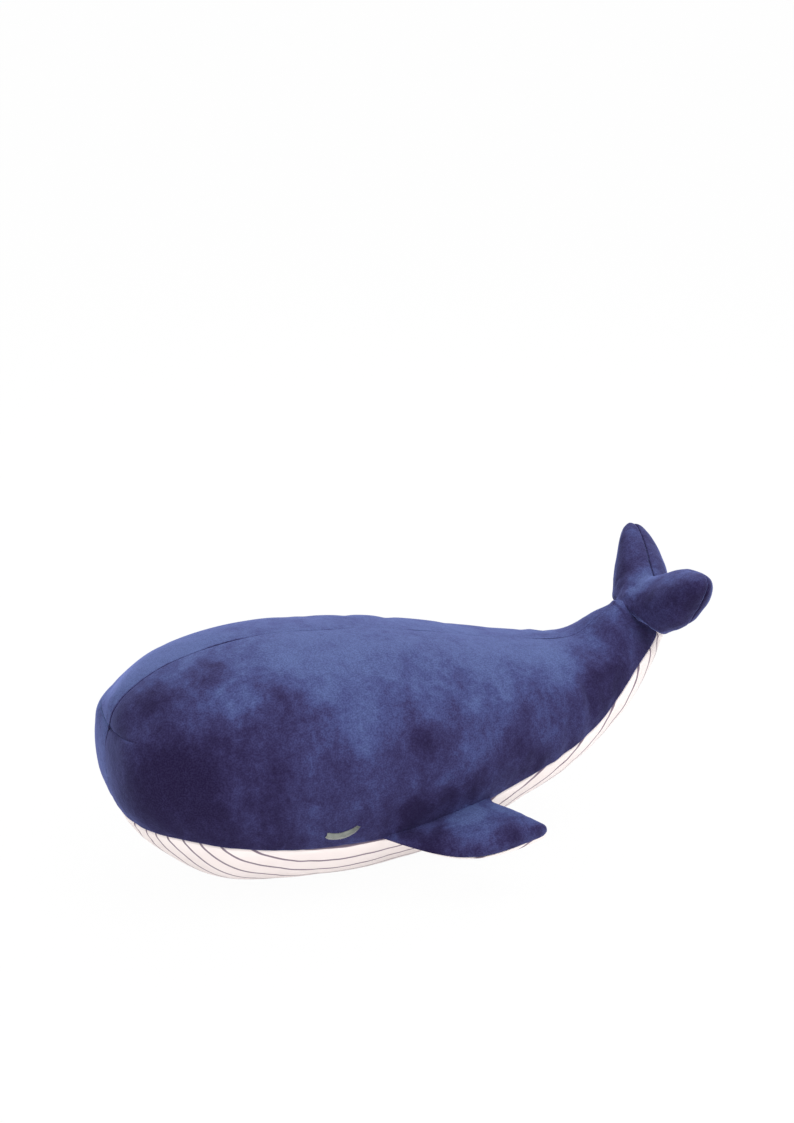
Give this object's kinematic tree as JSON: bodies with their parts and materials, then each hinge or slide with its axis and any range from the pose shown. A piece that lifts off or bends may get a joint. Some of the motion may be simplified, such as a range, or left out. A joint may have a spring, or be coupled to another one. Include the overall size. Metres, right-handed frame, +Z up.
{
  "type": "plush whale cushion",
  "caption": "Stuffed whale cushion with a blue velvet back, a striped belly, closed stitched eyes, two side fins and a curled two-lobed tail fluke.",
  "frame": {"origin": "on the floor under the middle of the whole toy", "axes": "+X from the nose to the tail, +Z up, -Y towards the whale's left side"},
  "size_m": [0.5378, 0.3, 0.236],
  "materials": {
    "blue_velvet": "short velvet pile",
    "striped_jersey": "fine grey stripes on cream jersey",
    "pale_thread": "satin stitch",
    "polyester_fill": "loose fibre"
  },
  "bodies": {
    "body": {"body_stuffing": "polyester_fill", "left_side_panel": "blue_velvet", "right_side_panel": "blue_velvet", "belly_panel": "striped_jersey", "left_eye_embroidery": "pale_thread", "right_eye_embroidery": "pale_thread"},
    "left_fin": {"left_fin_stuffing": "polyester_fill", "left_fin_top_panel": "blue_velvet", "left_fin_underside_panel": "striped_jersey"},
    "right_fin": {"right_fin_stuffing": "polyester_fill", "right_fin_top_panel": "blue_velvet", "right_fin_underside_panel": "striped_jersey"},
    "fluke": {"fluke_stuffing": "polyester_fill", "fluke_top_panel": "blue_velvet", "fluke_underside_panel": "blue_velvet"}
  },
  "joints": [
    {"name": "left_fin_flap", "type": "hinge", "parent": "body", "child": "left_fin", "pos_m": [-0.05993, -0.11181, 0.05805], "axis": [-0.9828, -0.1435, -0.1162], "range_deg": [-25, 45], "stiffness_Nm_per_rad": 0.3},
    {"name": "right_fin_flap", "type": "hinge", "parent": "body", "child": "right_fin", "pos_m": [-0.05993, 0.11181, 0.05805], "axis": [0.9828, -0.1435, 0.1162], "range_deg": [-25, 45], "stiffness_Nm_per_rad": 0.3},
    {"name": "fluke_flex", "type": "hinge", "parent": "body", "child": "fluke", "pos_m": [0.2272, 0, 0.17876], "axis": [0, 1, 0], "range_deg": [-18, 18], "stiffness_Nm_per_rad": 0.8}
  ]
}
